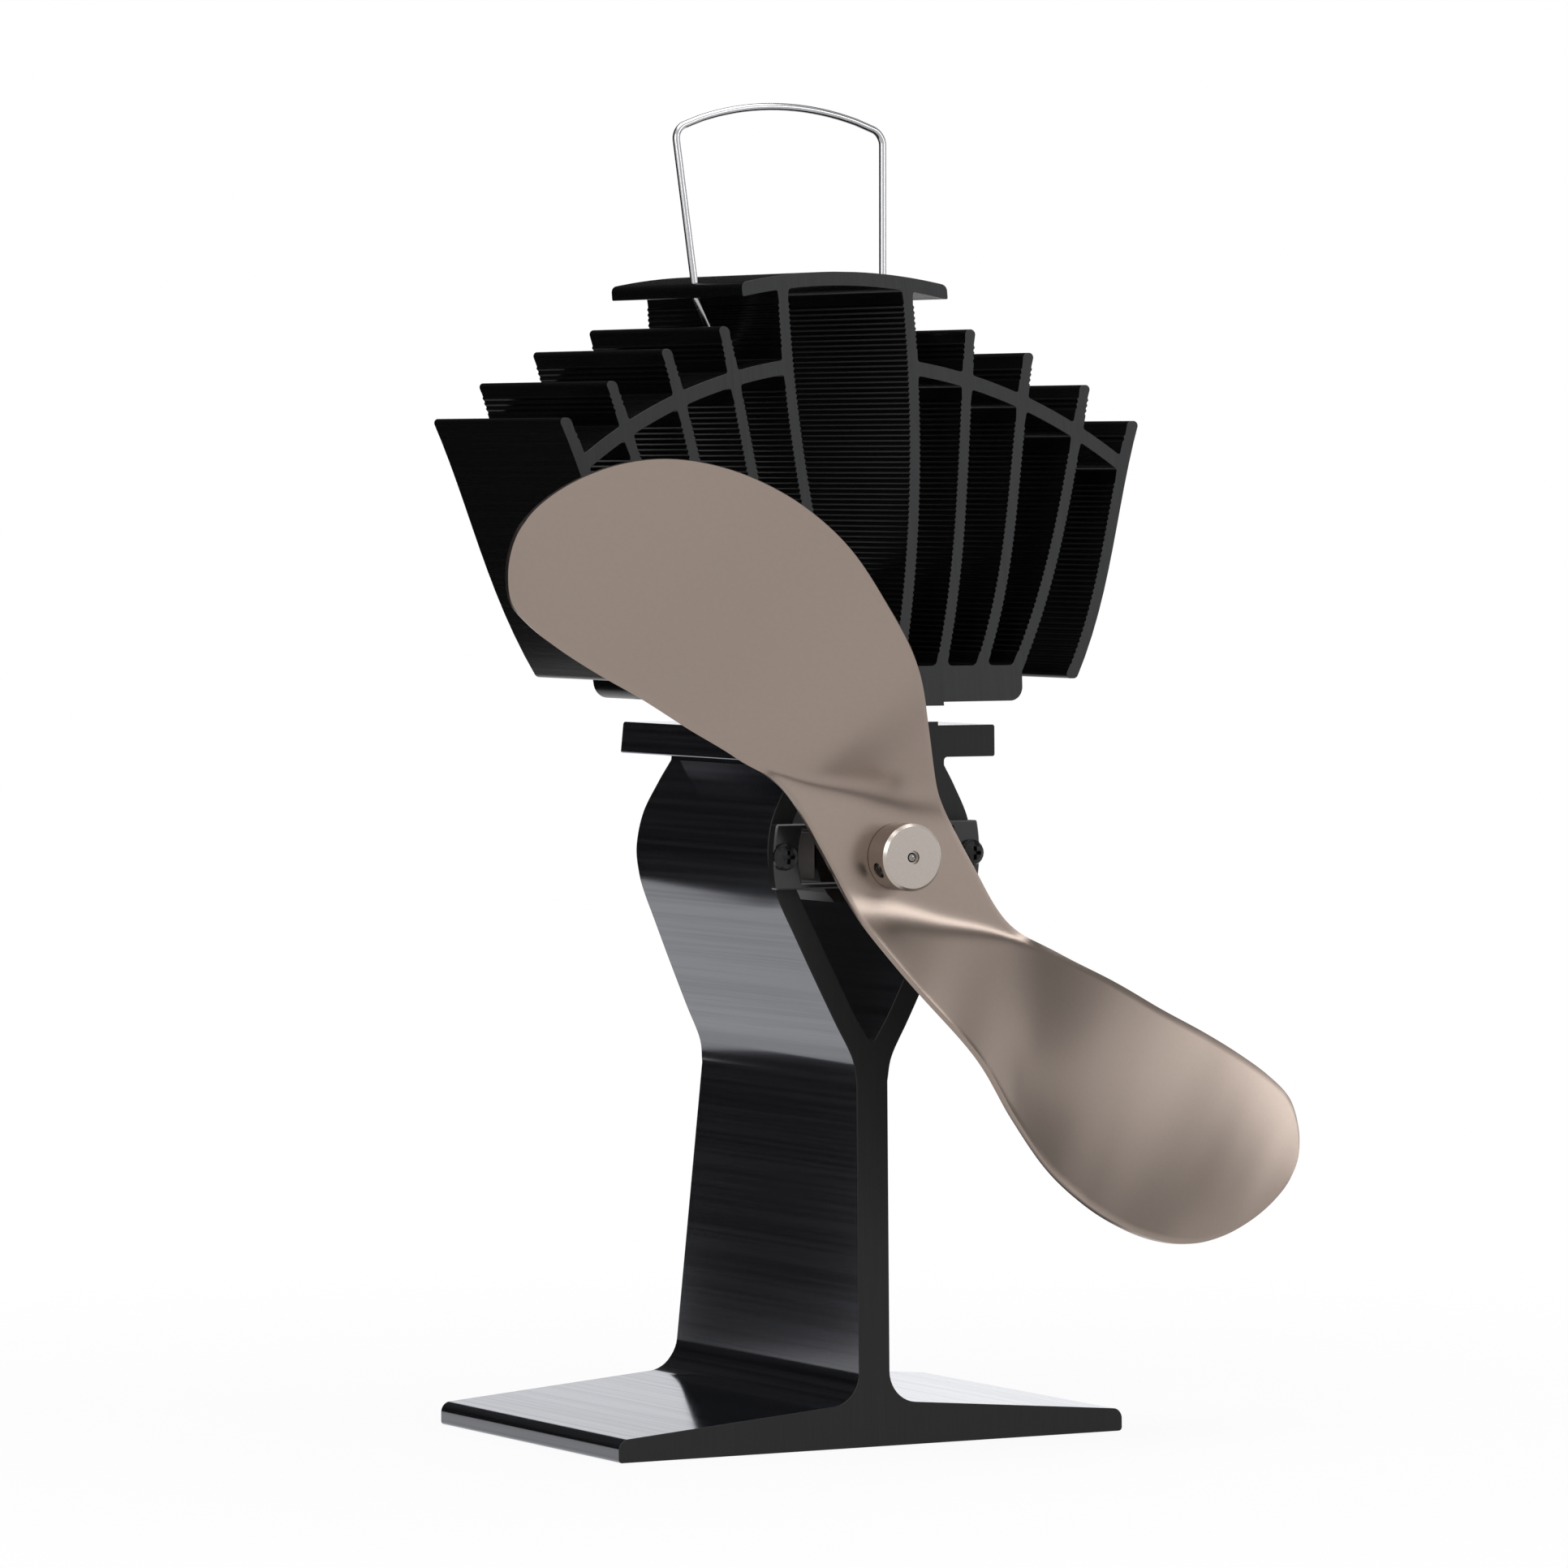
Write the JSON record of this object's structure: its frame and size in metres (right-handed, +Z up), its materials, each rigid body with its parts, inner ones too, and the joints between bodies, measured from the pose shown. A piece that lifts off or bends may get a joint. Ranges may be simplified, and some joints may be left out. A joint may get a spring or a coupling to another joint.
{
  "type": "stove fan",
  "caption": "Heat-powered stove fan: black extruded stand, curved finned heat sink with a wire handle, thermoelectric module, and a small motor with a twisted two-lobed metal blade.",
  "frame": {"origin": "middle of the foot's underside", "axes": "+Z up; the blade is at the front and blows towards -Y; +X is to the right seen from the front"},
  "size_m": [0.1456, 0.0843, 0.2156],
  "materials": {
    "black_anodised_aluminium": "black anodised extrusion, satin, with sawn ends",
    "black_plastic": "smooth moulded",
    "satin_nickel": "satin nickel colour, anodised sheet",
    "turned_nickel": "turned, satin nickel colour",
    "bright_wire": "bright plated steel wire",
    "black_steel": "black oxide",
    "zinc_steel": "zinc plated",
    "alumina_ceramic": "matt white ceramic",
    "pellet_metal": "grey semiconductor metal",
    "silicone_seal": "off-white silicone",
    "ferrite": "matt dark grey ferrite",
    "copper": "copper",
    "brass": "plain brass",
    "red_lead": "red silicone sleeve",
    "black_lead": "black silicone sleeve"
  },
  "bodies": {
    "stand": {"base_extrusion": "black_anodised_aluminium", "heat_sink": "black_anodised_aluminium", "module_hot_plate": "alumina_ceramic", "module_cold_plate": "alumina_ceramic", "module_pellets": "pellet_metal", "module_seal": "silicone_seal", "clamp_bolt_front": "black_steel", "clamp_bolt_rear": "black_steel", "clamp_washer_front": "zinc_steel", "clamp_washer_rear": "zinc_steel", "motor_can": "zinc_steel", "front_bearing": "brass", "rear_bearing": "brass", "magnet_left": "ferrite", "magnet_right": "ferrite", "motor_end_cap": "black_plastic", "brush_lower": "copper", "brush_upper": "copper", "terminal_left": "brass", "terminal_right": "brass", "motor_bracket": "black_plastic", "motor_cheek_left": "black_plastic", "motor_cheek_right": "black_plastic", "bracket_screw_left": "black_steel", "bracket_screw_right": "black_steel", "carry_handle": "bright_wire", "lead_red": "red_lead", "lead_black": "black_lead", "overheat_strip": "zinc_steel", "strip_rivet": "zinc_steel"},
    "rotor": {"motor_shaft": "zinc_steel", "rotor_core": "black_steel", "rotor_winding_1": "copper", "rotor_winding_2": "copper", "rotor_winding_3": "copper", "commutator": "copper", "fan_hub": "turned_nickel", "hub_set_screw": "black_steel", "blade_collar": "turned_nickel", "fan_blade": "satin_nickel"}
  },
  "joints": [
    {"name": "blade_spin", "type": "hinge", "parent": "stand", "child": "rotor", "pos_m": [0, -0.038, 0.0948], "axis": [0, -1, 0], "continuous": true}
  ]
}
